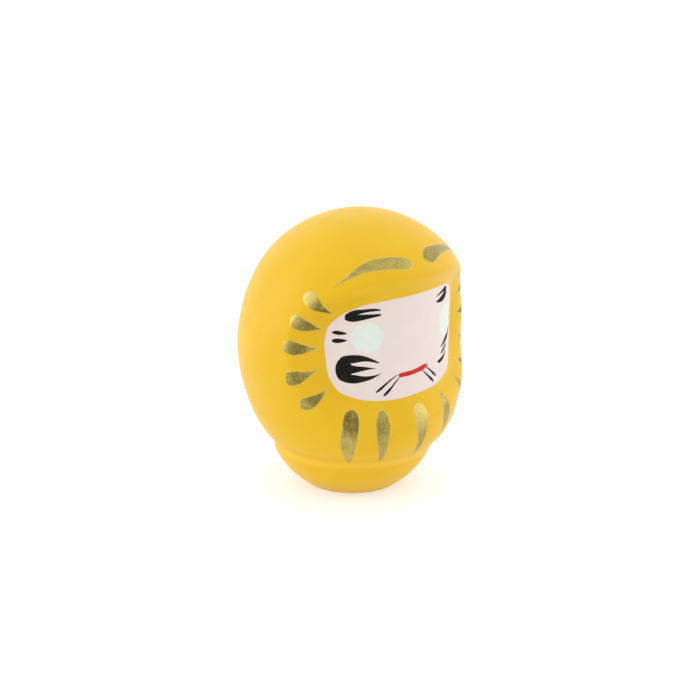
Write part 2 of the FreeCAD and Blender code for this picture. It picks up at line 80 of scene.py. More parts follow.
def natural_spline(xs, ys):
    """Natural cubic spline through the points, for arrays of x."""
    xs = np.array(xs, float)
    ys = np.array(ys, float)
    count = len(xs)
    span = np.diff(xs)
    system = np.eye(count)
    right = np.zeros(count)
    for i in range(1, count - 1):
        system[i, i - 1] = span[i - 1]
        system[i, i] = 2.0 * (span[i - 1] + span[i])
        system[i, i + 1] = span[i]
        right[i] = 6.0 * ((ys[i + 1] - ys[i]) / span[i] - (ys[i] - ys[i - 1]) / span[i - 1])
    bend = np.linalg.solve(system, right)

    def at(x):
        x = np.asarray(x, float)
        i = np.clip(np.searchsorted(xs, x) - 1, 0, count - 2)
        gone = x - xs[i]
        left = xs[i + 1] - x
        curve = (bend[i] * left ** 3 + bend[i + 1] * gone ** 3) / (6.0 * span[i])
        start = (ys[i] / span[i] - bend[i] * span[i] / 6.0) * left
        end = (ys[i + 1] / span[i] - bend[i + 1] * span[i] / 6.0) * gone
        return curve + start + end

    return at


ups = [s[0] for s in SECTIONS] + [DOLL_HEIGHT]
radii = [s[1] for s in SECTIONS] + [0.0]
over_ups = ups + ups[-2::-1]
over_radii = radii + [-r for r in radii[-2::-1]]
chord = np.concatenate([[0.0], np.cumsum(np.hypot(np.diff(over_radii), np.diff(over_ups)))])
radius_along = natural_spline(chord, over_radii)
up_along = natural_spline(chord, over_ups)
lean_at = natural_spline(ups, [s[2] for s in SECTIONS] + [CROWN_LEAN])
CROWN = chord[len(ups) - 1]
meridian = np.linspace(0.0, CROWN, 4001)
meridian_up = np.maximum.accumulate(up_along(meridian))
meridian_radius = radius_along(meridian)


def smooth(share):
    share = np.clip(share, 0.0, 1.0)
    return share * share * (3.0 - 2.0 * share)


def outside_face(around, up):
    """How far a point of the unrolled face is outside the face outline (negative inside)."""
    rise = up - FACE_CENTRE_UP
    across = around * math.cos(FACE_TILT) + rise * math.sin(FACE_TILT)
    along = rise * math.cos(FACE_TILT) - around * math.sin(FACE_TILT)
    sides = np.abs(across / FACE_HALF_WIDTH) ** FACE_POWER
    ends = np.abs(along / FACE_HALF_HEIGHT) ** FACE_POWER
    ratio = (sides + ends) ** (1.0 / FACE_POWER)
    return (ratio - 1.0) * np.hypot(around, rise) / np.maximum(ratio, 1e-6)


def swell(x, y, z):
    """Gentle unevenness of hand-laid paper: waves in scattered directions, each longer than the last."""
    total = np.zeros(np.shape(x))
    for wave in range(SWELL_WAVES):
        turn = GOLDEN_TURN * wave
        tilt = math.cos(1.7 * wave + 0.6)
        rate = 2.0 * math.pi / (SWELL_SHORTEST + SWELL_STEP * wave)
        across = math.sqrt(1.0 - 0.9 * tilt * tilt)
        phase = rate * (x * math.cos(turn) * across + y * math.sin(turn) * across + z * tilt) + 1.3 * wave
        total += np.sin(phase)
    return SWELL_DEPTH * total * smooth((z - JOINT_HEIGHT - 1.0) / SWELL_FADE)


def bare_reach(azimuth, up):
    """Radius about Z of the egg shape before the face was pressed in."""
    radius = np.interp(up, meridian_up, meridian_radius)
    lean = lean_at(up)
    return lean * np.cos(azimuth) + np.sqrt(np.maximum(radius ** 2 - (lean * np.sin(azimuth)) ** 2, 0.0))


def sunk(reach, azimuth, up):
    depth = smooth(1.0 - outside_face(FACE_RADIUS * azimuth, up) / FACE_SLOPE)
    return reach - np.maximum(reach - FACE_RADIUS, 0.0) * depth


def skin(azimuth, up):
    """Point of the outer surface at an azimuth and height."""
    reach = sunk(bare_reach(azimuth, up), azimuth, up)
    x = reach * np.sin(azimuth)
    y = -reach * np.cos(azimuth)
    reach = reach + swell(x, y, up)
    return np.stack([reach * np.sin(azimuth), -reach * np.cos(azimuth), up + 0.0 * reach], axis=-1)


def skin_normal(azimuth, up):
    step = 0.002
    around = skin(azimuth + step, up) - skin(azimuth - step, up)
    climb = skin(azimuth, up + 0.06) - skin(azimuth, up - 0.06)
    normal = np.cross(around, climb)
    return normal / np.linalg.norm(normal, axis=-1, keepdims=True)


# ---------------------------------------------------------------- mesh helpers
def mesh(name, points, faces, material, uvs=None):
    """A smooth-shaded mesh object from points in millimetres."""
    data = bpy.data.meshes.new(name)
    data.from_pydata([tuple(p) for p in np.asarray(points, float) * MM], [], [tuple(f) for f in faces])
    if uvs is not None:
        layer = data.uv_layers.new(name="along_across")
        corner = np.zeros(len(data.loops), int)
        data.loops.foreach_get("vertex_index", corner)
        layer.data.foreach_set("uv", np.asarray(uvs, float)[corner].ravel())
    data.polygons.foreach_set("use_smooth", [True] * len(data.polygons))
    data.validate()
    data.update()
    piece = bpy.data.objects.new(name, data)
    bpy.context.scene.collection.objects.link(piece)
    data.materials.append(material)
    return piece


def grid_faces(rows, columns, start=0, closed=False):
    """Quads of a grid whose points are stored row by row."""
    faces = []
    last = columns if closed else columns - 1
    for i in range(rows - 1):
        for j in range(last):
            k = (j + 1) % columns
            faces.append((start + i * columns + j, start + i * columns + k,
                          start + (i + 1) * columns + k, start + (i + 1) * columns + j))
    return faces


def finish_piece(piece, slot, *nodes):
    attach(piece, "root")
    if nodes:
        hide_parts(*nodes)
    return piece


# ---------------------------------------------------------------- material helpers
def new_material(name):
    material = bpy.data.materials.new(name)
    material.use_nodes = True
    return material, material.node_tree, material.node_tree.nodes["Principled BSDF"]


def noise(tree, scale, detail=2.0, roughness=0.5, stretch=None):
    """Noise on the object's own coordinates; the scale is in waves per metre."""
    place = tree.nodes.new("ShaderNodeTexCoord")
    texture = tree.nodes.new("ShaderNodeTexNoise")
    texture.inputs["Scale"].default_value = scale
    texture.inputs["Detail"].default_value = detail
    texture.inputs["Roughness"].default_value = roughness
    if stretch:
        mapping = tree.nodes.new("ShaderNodeMapping")
        mapping.inputs["Scale"].default_value = stretch
        tree.links.new(place.outputs["Object"], mapping.inputs["Vector"])
        tree.links.new(mapping.outputs["Vector"], texture.inputs["Vector"])
    else:
        tree.links.new(place.outputs["Object"], texture.inputs["Vector"])
    return texture.outputs["Fac"]


def ramp(tree, factor, stops):
    """Colour ramp from (position, colour) stops."""
    made = tree.nodes.new("ShaderNodeValToRGB")
    elements = made.color_ramp.elements
    while len(elements) < len(stops):
        elements.new(0.5)
    for element, (position, colour) in zip(elements, stops):
        element.position = position
        element.color = (*colour, 1.0)
    tree.links.new(factor, made.inputs["Fac"])
    return made.outputs["Color"]


def spread(tree, factor, low, high, start=0.0, end=1.0):
    """Map a 0..1 value to a range."""
    made = tree.nodes.new("ShaderNodeMapRange")
    made.inputs["From Min"].default_value = start
    made.inputs["From Max"].default_value = end
    made.inputs["To Min"].default_value = low
    made.inputs["To Max"].default_value = high
    tree.links.new(factor, made.inputs["Value"])
    return made.outputs["Result"]


def mix(tree, factor, first, second):
    made = tree.nodes.new("ShaderNodeMix")
    made.data_type = "RGBA"
    made.blend_type = "MIX"
    for socket, value in ((made.inputs[0], factor), (made.inputs[6], first), (made.inputs[7], second)):
        if isinstance(value, (int, float)):
            socket.default_value = value
        elif isinstance(value, tuple):
            socket.default_value = (*value, 1.0)
        else:
            tree.links.new(value, socket)
    return made.outputs[2]


def bump(tree, shader, layers):
    """Stack of bumps: (height, depth in millimetres)."""
    previous = None
    for height, depth in layers:
        made = tree.nodes.new("ShaderNodeBump")
        made.inputs["Strength"].default_value = 1.0
        made.inputs["Distance"].default_value = depth * MM
        tree.links.new(height, made.inputs["Height"])
        if previous:
            tree.links.new(previous, made.inputs["Normal"])
        previous = made.outputs["Normal"]
    tree.links.new(previous, shader.inputs["Normal"])


# paint tones, as linear red, green and blue
YELLOW_LOW = (0.640, 0.383, 0.002)
YELLOW = (0.655, 0.395, 0.003)
YELLOW_HIGH = (0.670, 0.408, 0.005)
# the next two are painted light: a lighter yellow low down for light from below, and a lighter yellow in a
# band at the joint for a highlight on the bowl's rim
YELLOW_LIT_FROM_BELOW = (0.715, 0.435, 0.003)
YELLOW_JOINT_HIGHLIGHT = (0.79, 0.50, 0.055)
# heights between which the painted light from below fades upwards, and below and above which the painted
# highlight at the joint fades out
BELOW_LIGHT_FADE = (8.0, 30.0)
JOINT_HIGHLIGHT_BELOW = (12.2, 13.8)
JOINT_HIGHLIGHT_ABOVE = (14.5, 16.2)
# waves per metre
PAPER_GRAIN = 240.0

GOLD_DARK = (0.130, 0.096, 0.010)
GOLD_LIGHT = (0.60, 0.48, 0.14)
# the edge colour is partly the thin, less metallic edge of the stroke and partly a painted highlight on its
# ridge
GOLD_EDGE_HIGHLIGHT = (0.60, 0.45, 0.07)
# how light each gold stroke shows along its length, as (share, lightness): painted reflection, where the
# metal would catch or miss the surrounding light
BROW_RIGHT_REFLECTION_TONES = [(0.0, 0.62), (0.2, 0.42), (0.6, 0.34), (0.85, 0.55), (1.0, 0.5)]
BROW_LEFT_REFLECTION_TONES = [(0.0, 0.2), (0.35, 0.3), (0.8, 0.3), (1.0, 0.4)]
CHEEK_REFLECTION_TONES = [
    [(0.0, 1.0), (0.3, 0.8), (0.55, 0.0), (0.8, 0.0), (1.0, 0.3)],
    [(0.0, 0.9), (0.22, 0.5), (0.45, 0.0), (0.7, 0.0), (1.0, 0.45)],
    [(0.0, 0.85), (0.22, 0.3), (0.42, 0.0), (0.65, 0.0), (0.9, 0.6)],
    [(0.0, 0.3), (0.4, 0.08), (0.7, 0.2), (1.0, 0.5)],
    [(0.0, 0.4), (0.35, 0.24), (0.65, 0.1), (0.95, 0.85)],
]
CHIN_REFLECTION_TONES = [
    [(0.0, 0.0), (0.30, 0.0), (0.46, 0.52), (0.8, 0.75), (1.0, 0.8)],
    [(0.0, 0.42), (0.22, 0.2), (0.55, 0.48), (1.0, 0.6)],
    [(0.0, 0.95), (0.35, 0.8), (0.55, 0.42), (1.0, 0.4)],
    [(0.0, 0.45), (0.4, 0.35), (0.7, 0.4), (1.0, 0.4)],
    [(0.0, 0.4), (0.4, 0.35), (0.7, 0.4), (1.0, 0.4)],
]


def yellow_paint():
    """Satin yellow over the whole doll, made lighter low down as painted light from below, and lightest
    in a band at the joint as a painted highlight where the bowl's rim catches the light."""
    material, tree, shader = new_material("yellow_paint")
    cloudy = noise(tree, 70.0, 3.0, 0.55)
    tone = ramp(tree, cloudy, [(0.30, YELLOW_LOW), (0.52, YELLOW), (0.75, YELLOW_HIGH)])
    place = tree.nodes.new("ShaderNodeTexCoord")
    apart = tree.nodes.new("ShaderNodeSeparateXYZ")
    tree.links.new(place.outputs["Object"], apart.inputs["Vector"])
    # painted light from below: the yellow made lighter towards the bottom, fading out upwards
    below_light_share = spread(tree, apart.outputs["Z"], 0.85, 0.0, BELOW_LIGHT_FADE[0] * MM, BELOW_LIGHT_FADE[1] * MM)
    tone = mix(tree, below_light_share, tone, YELLOW_LIT_FROM_BELOW)
    # painted highlight: a lighter band round the joint where the bowl's rim catches the light
    under = spread(tree, apart.outputs["Z"], 0.0, 1.0, JOINT_HIGHLIGHT_BELOW[0] * MM, JOINT_HIGHLIGHT_BELOW[1] * MM)
    over = spread(tree, apart.outputs["Z"], 0.5, 0.0, JOINT_HIGHLIGHT_ABOVE[0] * MM, JOINT_HIGHLIGHT_ABOVE[1] * MM)
    joint_highlight = tree.nodes.new("ShaderNodeMath")
    joint_highlight.operation = "MULTIPLY"
    tree.links.new(under, joint_highlight.inputs[0])
    tree.links.new(over, joint_highlight.inputs[1])
    tone = mix(tree, joint_highlight.outputs[0], tone, YELLOW_JOINT_HIGHLIGHT)
    fine = noise(tree, 900.0, 2.0, 0.5)
    tone = mix(tree, spread(tree, fine, 0.0, 0.10), tone, YELLOW_LOW)
    tree.links.new(tone, shader.inputs["Base Color"])
    tree.links.new(spread(tree, noise(tree, 160.0, 3.0), 0.36, 0.50), shader.inputs["Roughness"])
    shader.inputs["Specular IOR Level"].default_value = 0.25
    shader.inputs["Subsurface Weight"].default_value = 0.03
    shader.inputs["Subsurface Radius"].default_value = (0.0012, 0.0006, 0.0002)
    shader.inputs["Subsurface Scale"].default_value = 1.0
    bump(tree, shader, [(noise(tree, PAPER_GRAIN, 4.0, 0.6), 0.16), (noise(tree, 1900.0, 2.0, 0.5), 0.018)])
    return material


def flat_paint(name, low, high, roughness, shine=0.5):
    """Brushed-on opaque paint with a slight cloudiness and brush drag."""
    material, tree, shader = new_material(name)
    cloudy = noise(tree, 260.0, 3.0, 0.55)
    tree.links.new(ramp(tree, cloudy, [(0.32, low), (0.68, high)]), shader.inputs["Base Color"])
    tree.links.new(spread(tree, noise(tree, 780.0, 2.0), roughness - 0.06, roughness + 0.06),
                   shader.inputs["Roughness"])
    shader.inputs["Specular IOR Level"].default_value = shine
    drag = noise(tree, 700.0, 2.0, 0.5, (0.35, 0.35, 1.6))
    bump(tree, shader, [(noise(tree, PAPER_GRAIN, 4.0, 0.6), 0.10), (drag, 0.05)])
    return material


def gold_paint(name, tones, grain):
    """Metallic pigment in a binder, fine flakes in brush streaks. tones is painted reflection, how dark or
    light the metal shows along the stroke, as (share, lightness), and grain stretches the streaks the way the
    brush went."""
    material, tree, shader = new_material("gold_paint_" + name)
    place = tree.nodes.new("ShaderNodeUVMap")
    place.uv_map = "along_across"
    apart = tree.nodes.new("ShaderNodeSeparateXYZ")
    tree.links.new(place.outputs["UV"], apart.inputs["Vector"])
    flakes = noise(tree, 2400.0, 3.0, 0.65)
    streaks = noise(tree, 620.0, 3.0, 0.6, grain)
    drift = tree.nodes.new("ShaderNodeMath")
    drift.operation = "ADD"
    tree.links.new(apart.outputs["X"], drift.inputs[0])
    tree.links.new(spread(tree, streaks, -0.16, 0.16), drift.inputs[1])
    # painted reflection: each stroke goes lighter and darker along its length where its metal would catch or
    # miss the light
    stops = [(share, tuple(GOLD_DARK[c] + (GOLD_LIGHT[c] - GOLD_DARK[c]) * light for c in range(3)))
             for share, light in tones]
    along = ramp(tree, drift.outputs[0], stops)
    tone = mix(tree, spread(tree, flakes, 0.0, 0.45, 0.42, 0.72), along, GOLD_LIGHT)
    tone = mix(tree, spread(tree, flakes, 0.35, 0.0, 0.28, 0.5), tone, GOLD_DARK)
    tone = mix(tree, spread(tree, streaks, 0.0, 0.34, 0.54, 0.74), tone, GOLD_LIGHT)
    tone = mix(tree, spread(tree, streaks, 0.34, 0.0, 0.28, 0.46), tone, GOLD_DARK)
    # the stroke's thin edge, less metallic, and lighter there as a painted highlight where the paint's ridge
    # catches the light
    edge = spread(tree, apart.outputs["Y"], 0.0, 1.0, 0.0, 0.2)
    tree.links.new(mix(tree, edge, GOLD_EDGE_HIGHLIGHT, tone), shader.inputs["Base Color"])
    tree.links.new(spread(tree, flakes, 0.28, 0.46), shader.inputs["Roughness"])
    tree.links.new(spread(tree, edge, 0.3, 0.85), shader.inputs["Metallic"])
    bump(tree, shader, [(noise(tree, PAPER_GRAIN, 4.0, 0.6), 0.12), (streaks, 0.05), (flakes, 0.02)])
    return material


def plain(name, colour, roughness):
    """Hidden pieces: glue and paper inside the doll."""
    material, tree, shader = new_material(name)
    low = tuple(0.8 * c for c in colour)
    tone = ramp(tree, noise(tree, 300.0, 3.0), [(0.3, low), (0.7, colour)])
    tree.links.new(tone, shader.inputs["Base Color"])
    shader.inputs["Roughness"].default_value = roughness
    bump(tree, shader, [(noise(tree, 500.0, 3.0), 0.1)])
    return material


YELLOW_PAINT = yellow_paint()
FACE_PAINT = flat_paint("face_paint", (0.645, 0.552, 0.513), (0.665, 0.572, 0.533), 0.55)
EYE_PAINT = flat_paint("eye_paint", (0.585, 0.64, 0.565), (0.62, 0.67, 0.598), 0.5)
BLACK_PAINT = flat_paint("black_paint", (0.005, 0.005, 0.004), (0.011, 0.011, 0.009), 0.62, 0.09)
RED_PAINT = flat_paint("red_paint", (0.47, 0.012, 0.003), (0.53, 0.019, 0.007), 0.55, 0.2)
GLUE = plain("dried_glue", (0.42, 0.26, 0.10), 0.35)

# ---------------------------------------------------------------- shell and base
COLUMNS = 360
SHELL_ROWS = 210
SKIRT_UP = 15.9
# the bowl's rim under its paint, which dips towards one azimuth, and how the paint curves up to the shell
BASE_RIM_UP = 13.5
RIM_DROP = 1.3
RIM_TILT_AZIMUTH = math.radians(-34.0)
RIM_PULL = (0.42, 1.25)
SKIRT_PULL = (0.36, 0.75)
# across the joint strip: how far above its lower edge, and how far proud of the bowl
STRIP_PROFILE = [
    (-0.25, -0.05), (0.0, 0.01), (0.35, 0.05), (1.2, 0.07), (2.2, 0.06), (3.0, 0.03), (3.6, -0.05),
]
SEAM_PROUD = 0.17
SUNK_EDGE = 0.04


def shell_rings():
    """Rings of the shell from the joint to the crown, each about its own centre."""
    start = np.interp(SKIRT_UP, meridian_up, meridian)
    along = np.linspace(start, CROWN, SHELL_ROWS + 1)[:-1]
    turn = np.linspace(-math.pi, math.pi, COLUMNS, endpoint=False)
    along, turn = np.meshgrid(along, turn, indexing="ij")
    radius = radius_along(along)
    up = up_along(along)
    lean = lean_at(up)
    x = radius * np.sin(turn)
    y = -lean - radius * np.cos(turn)
    azimuth = np.arctan2(x, -y)
    reach = sunk(np.hypot(x, y), azimuth, up)
    reach = reach + swell(reach * np.sin(azimuth), -reach * np.cos(azimuth), up)
    return np.stack([reach * np.sin(azimuth), -reach * np.cos(azimuth), up], axis=-1)


RINGS = shell_rings()


def make_shell():
    points = RINGS.reshape(-1, 3)
    crown = np.array([[0.0, -CROWN_LEAN, RINGS[-1, :, 2].mean() + 0.002]])
    faces = grid_faces(SHELL_ROWS, COLUMNS, closed=True)
    top = SHELL_ROWS * COLUMNS
    last = (SHELL_ROWS - 1) * COLUMNS
    faces += [(last + j, last + (j + 1) % COLUMNS, top) for j in range(COLUMNS)]
    piece = mesh("shell_skin", np.vstack([points, crown]), faces, YELLOW_PAINT)
    return finish_piece(piece, "yellow_shell", "paper_shell")


def base_out(up):
    """Radius of the bowl's outside at a height."""
    below = BASE_ARC_CENTRE_UP - up
    return BASE_ARC_CENTRE_OUT + np.sqrt(np.maximum(BASE_ARC_RADIUS ** 2 - below ** 2, 0.0))


def bezier(a, b, c, d, share):
    left = 1 - share
    return left ** 3 * a + 3 * left ** 2 * share * b + 3 * left * share ** 2 * c + share ** 3 * d


def make_base():
    """The bowl, with the paint rounding its rim and filling the corner under the shell."""
    skirt = RINGS[0]
    azimuth = np.arctan2(skirt[:, 0], -skirt[:, 1])
    skirt_reach = np.hypot(skirt[:, 0], skirt[:, 1])
    rows = []
    for reach in (0.01, 5.0, 10.0, 13.5, BASE_FOOT_RADIUS - 0.3):
        rows.append((np.full(COLUMNS, reach), 0.0))
    lip = np.array([BASE_FOOT_RADIUS, float(base_out(FOOT_LIP_UP))])
    for share in np.linspace(0.0, 1.0, 6)[:-1]:
        rows.append((np.full(COLUMNS, lip[0] + (lip[1] - lip[0]) * math.sin(share * math.pi / 2)),
                     FOOT_LIP_UP * (1.0 - math.cos(share * math.pi / 2))))
    rim_up = BASE_RIM_UP - RIM_DROP * (0.5 + 0.5 * np.cos(azimuth - RIM_TILT_AZIMUTH))
    for share in np.linspace(0.0, 1.0, 60):
        up = FOOT_LIP_UP + (rim_up - FOOT_LIP_UP) * share
        rows.append((base_out(up), up))
    rim = base_out(rim_up)
    for share in np.linspace(0.0, 1.0, 25)[1:]:
        reach = bezier(rim, rim + RIM_PULL[0], skirt_reach - SKIRT_PULL[0], skirt_reach, share)
        up = bezier(rim_up, rim_up + RIM_PULL[1], SKIRT_UP - SKIRT_PULL[1], SKIRT_UP, share)
        rows.append((reach, up))
    points = []
    for reach, up in rows:
        ring = [reach * np.sin(azimuth), -reach * np.cos(azimuth), up + 0.0 * azimuth]
        points.append(np.stack(ring, axis=-1))
    faces = grid_faces(len(rows), COLUMNS, closed=True)
    piece = mesh("base_bowl_skin", np.vstack(points), faces, YELLOW_PAINT)
    return finish_piece(piece, "yellow_base", "base_weight")


def make_joint_strip():
    """The paper strip round the bowl under the rim, a soft low ridge under the paint."""
    azimuth = np.linspace(-math.pi, math.pi, COLUMNS, endpoint=False)
    points = []
    for climb, stand in STRIP_PROFILE:
        ripple = 0.10 * np.sin(5 * azimuth + 1.0) + 0.07 * np.sin(13 * azimuth)
        up = STRIP_LOW + climb + ripple * max(0.0, 1.0 - climb / 3.0)
        reach = base_out(up) + stand
        points.append(np.stack([reach * np.sin(azimuth), -reach * np.cos(azimuth), up], axis=-1))
    faces = grid_faces(len(STRIP_PROFILE), COLUMNS, closed=True)
    piece = mesh("joint_strip_skin", np.vstack(points), faces, YELLOW_PAINT)
    return finish_piece(piece, "yellow_strip", "joint_paper_strip")


def make_seam_strip():
    """The paper strip down the back over the mould slit, a soft low ridge under the paint."""
    rows, columns = 150, 15
    along = np.linspace(0.0, 1.0, rows)
    across = np.linspace(-1.0, 1.0, columns)
    along, across = np.meshgrid(along, across, indexing="ij")
    up = SEAM_STRIP_LOW + (SEAM_STRIP_HIGH - SEAM_STRIP_LOW) * along
    half = 0.5 * SEAM_STRIP_WIDTH * (1.0 + 0.05 * np.sin(9.0 * along) + 0.03 * np.sin(31.0 * along))
    azimuth = math.pi + across * half / bare_reach(math.pi, up)
    end = np.minimum(along, 1.0 - along) * (SEAM_STRIP_HIGH - SEAM_STRIP_LOW)
    side = (1.0 - np.abs(across)) * half
    proud = SEAM_PROUD * smooth(np.minimum(end, side) / 0.6) - SUNK_EDGE
    points = skin(azimuth, up) + proud[..., None] * skin_normal(azimuth, up)
    faces = grid_faces(rows, columns)
    piece = mesh("back_seam_strip_skin", points.reshape(-1, 3), faces, YELLOW_PAINT)
    return finish_piece(piece, "yellow_strip", "back_seam_strip")


make_shell()
make_base()
make_joint_strip()
make_seam_strip()

# ---------------------------------------------------------------- painted marks
# Each stroke runs from its head to its tip: azimuth in degrees, height and half-width in mm.
GOLD_BROW_RIGHT = [(-4.9, 81.5, 0.9), (-7.8, 81.6, 1.6), (-12.7, 82.0, 1.85), (-20.0, 82.15, 1.8),
                   (-27.0, 81.8, 1.65), (-33.0, 81.0, 1.3), (-38.0, 79.5, 0.85), (-43.0, 77.6, 0.4),
                   (-48.6, 75.4, 0.08)]
GOLD_BROW_LEFT = [(4.2, 82.0, 0.8), (7.0, 82.3, 1.6), (11.7, 83.1, 2.0), (19.0, 83.6, 1.65),
                  (30.0, 83.4, 1.25), (39.0, 82.3, 0.9), (46.0, 80.0, 0.45), (51.0, 77.8, 0.08)]
CHEEKS_RIGHT = [
    [(-61.0, 74.0), (-56.4, 70.2), (-48.6, 66.3), 2.5],
    [(-67.8, 65.9), (-62.4, 63.0), (-54.6, 61.1), 2.4],
    [(-71.6, 57.2), (-65.4, 55.4), (-56.8, 55.1), 2.35],
    [(-71.4, 45.6), (-65.2, 46.2), (-57.0, 48.3), 2.5],
    [(-65.0, 37.5), (-58.4, 38.5), (-51.2, 43.0), 2.25],
]
CHEEKS_LEFT = [
    [(61.0, 76.2), (56.2, 73.4), (52.3, 70.2), 2.0],
    [(69.5, 68.6), (64.6, 66.4), (59.5, 64.2), 2.0],
    [(73.5, 58.6), (67.5, 57.9), (60.3, 57.4), 2.0],
    [(75.0, 46.2), (69.0, 47.6), (62.5, 49.1), 2.1],
    [(66.0, 38.6), (59.5, 40.3), (52.3, 43.0), 2.0],
]
CHINS = [
    [(-38.2, 35.7, 1.1), (-38.8, 34.2, 2.2), (-39.2, 30.7, 2.75), (-40.2, 26.0, 2.9), (-40.8, 21.0, 2.1),
     (-40.8, 17.2, 1.1), (-40.6, 15.1, 0.35)],
    [(-22.0, 35.0, 0.8), (-22.4, 33.2, 1.95), (-22.6, 30.0, 2.45), (-22.1, 25.3, 2.1), (-21.2, 20.5, 1.4),
     (-20.5, 17.2, 0.8), (-20.2, 15.15, 0.3)],
    [(1.5, 35.5, 0.8), (1.0, 34.2, 2.1), (0.2, 30.8, 2.75), (1.75, 26.2, 2.15), (3.3, 20.7, 1.35),
     (4.5, 17.2, 0.65), (5.2, 15.3, 0.2)],
    [(21.0, 36.2, 0.6), (20.4, 34.6, 1.5), (20.6, 31.5, 2.15), (22.0, 28.2, 2.3), (23.2, 25.2, 1.5),
     (22.8, 23.4, 0.7), (22.0, 22.3, 0.2)],
    [(41.4, 38.3, 0.6), (42.0, 36.5, 1.5), (43.0, 33.0, 2.2), (44.0, 28.5, 2.1), (45.5, 22.5, 1.4),
     (46.5, 17.8, 0.6), (46.8, 16.0, 0.2)],
]
BROW_RIGHT = [
    [(-42.8, 65.5, 0.5), (-40.0, 66.1, 0.95), (-36.0, 66.9, 0.95), (-33.0, 67.2, 0.72), (-28.5, 67.5, 0.6),
     (-25.0, 67.5, 0.48), (-22.3, 67.35, 0.26)],
    [(-42.9, 65.1, 0.6), (-39.5, 64.9, 1.05), (-35.5, 65.1, 1.12), (-31.0, 65.4, 0.92), (-26.5, 65.65, 0.64),
     (-23.8, 65.8, 0.5), (-22.0, 65.9, 0.28)],
]
BROW_LEFT = [
    [(32.4, 69.8, 0.6), (30.2, 70.0, 0.85), (27.0, 69.8, 0.66), (22.5, 69.25, 0.48), (17.6, 68.4, 0.15)],
    [(32.2, 69.1, 0.6), (30.3, 68.5, 1.15), (27.2, 67.6, 1.3), (23.2, 67.0, 0.95), (20.5, 66.85, 0.6),
     (17.9, 66.9, 0.3)],
]
BEARD_RIGHT = [
    [(-45.4, 50.4, 0.9), (-43.5, 51.2, 1.4), (-41.0, 51.6, 1.5), (-38.0, 51.8, 1.45), (-33.0, 51.9, 1.1),
     (-28.3, 51.35, 0.65), (-25.5, 50.75, 0.45), (-23.0, 50.2, 0.22)],
    [(-46.4, 48.4, 1.0), (-44.0, 48.5, 1.7), (-40.0, 48.45, 1.65), (-36.0, 48.45, 1.15), (-32.0, 48.6, 0.75),
     (-28.5, 48.6, 0.4), (-24.8, 48.6, 0.12)],
    [(-45.2, 46.4, 0.9), (-43.5, 45.8, 1.35), (-41.0, 45.4, 1.5), (-37.0, 45.2, 1.5), (-33.0, 45.2, 1.1),
     (-29.5, 45.4, 0.8), (-26.0, 45.9, 0.48), (-21.2, 47.0, 0.1)],
]
BEARD_BLOB_RIGHT = ((-43.3, 48.35), 2.75, 4.05)
BEARD_LEFT = [
    [(39.6, 56.6, 0.3), (38.2, 55.3, 0.8), (35.3, 53.6, 1.15), (30.0, 52.1, 0.78), (27.0, 51.45, 0.52),
     (24.3, 50.8, 0.25)],
    [(34.2, 51.1, 0.2), (32.6, 50.6, 0.5), (29.5, 49.8, 0.66), (27.0, 49.3, 0.55), (24.3, 48.8, 0.28)],
    [(32.6, 49.0, 0.2), (31.2, 48.2, 0.5), (28.6, 47.2, 0.72), (25.0, 46.6, 0.82), (22.5, 46.4, 0.7),
     (20.3, 46.4, 0.45)],
]
MOUTH = [(-11.7, 45.4, 0.7), (-8.0, 45.5, 0.86), (-2.0, 45.7, 0.86), (4.0, 46.2, 0.94), (7.4, 46.6, 0.9),
         (9.9, 47.0, 0.5)]
WHISKERS_RIGHT = [
    [(-25.3, 40.5, 0.3), (-24.0, 41.0, 0.46), (-19.0, 43.2, 0.42), (-14.5, 45.0, 0.3), (-11.7, 45.9, 0.15)],
    [(-20.8, 39.1, 0.3), (-19.8, 39.6, 0.5), (-15.5, 42.0, 0.42), (-12.2, 44.1, 0.3), (-10.2, 45.1, 0.15)],
]
WHISKERS_LEFT = [
    [(19.5, 41.9, 0.25), (18.4, 42.3, 0.42), (13.5, 44.4, 0.4), (10.0, 45.9, 0.3), (8.0, 46.8, 0.15)],
    [(16.8, 40.2, 0.25), (15.8, 40.7, 0.44), (10.8, 43.1, 0.42), (7.2, 44.8, 0.3), (5.2, 45.8, 0.15)],
]
DASHES_RIGHT = [
    [(-50.0, 60.3, 0.2), (-48.6, 60.35, 0.6), (-46.5, 60.3, 0.76), (-44.0, 60.2, 0.62), (-41.2, 60.1, 0.16)],
    [(-50.2, 57.6, 0.25), (-48.8, 57.65, 0.7), (-46.5, 57.7, 0.84), (-44.0, 57.8, 0.66), (-41.2, 57.9, 0.16)],
]
DASHES_LEFT = [
    [(52.6, 60.3, 0.2), (51.4, 60.35, 0.55), (49.8, 60.3, 0.66), (48.2, 60.2, 0.5), (46.6, 60.1, 0.14)],
    [(52.6, 57.6, 0.2), (51.4, 57.65, 0.6), (49.8, 57.7, 0.72), (48.2, 57.8, 0.55), (46.6, 57.9, 0.14)],
]
# an oval is its centre's azimuth and height, then its half-width and half-height
EYE_RIGHT = ((-30.1, 58.8), 5.45, 5.2)
EYE_LEFT = ((32.0, 59.4), 5.9, 5.7)
# how wide a cheek stroke is along its length: share of the length, share of the full half-width
TEARDROP = [(0.0, 0.35), (0.1, 0.82), (0.28, 1.0), (0.48, 0.9), (0.68, 0.58), (0.84, 0.26), (1.0, 0.05)]
# thickness of each kind of mark, how ragged its edge is, and how its edge meets the skin
EDGE_STEP = 0.03
EDGE_SUNK = 0.01
MARK_THICK = 0.10
MOUTH_THICK = 0.13
MOUTH_RAGGED = 0.03
GOLD_THICK = 0.06
GOLD_RAGGED = 0.015
COAT_PROUD = 0.05
COAT_SUNK = 0.02
# how often streaks repeat along x, y and z, for each way the brush went
SIDEWAYS = (0.4, 0.4, 1.3)
DOWNWARDS = (1.3, 1.3, 0.25)


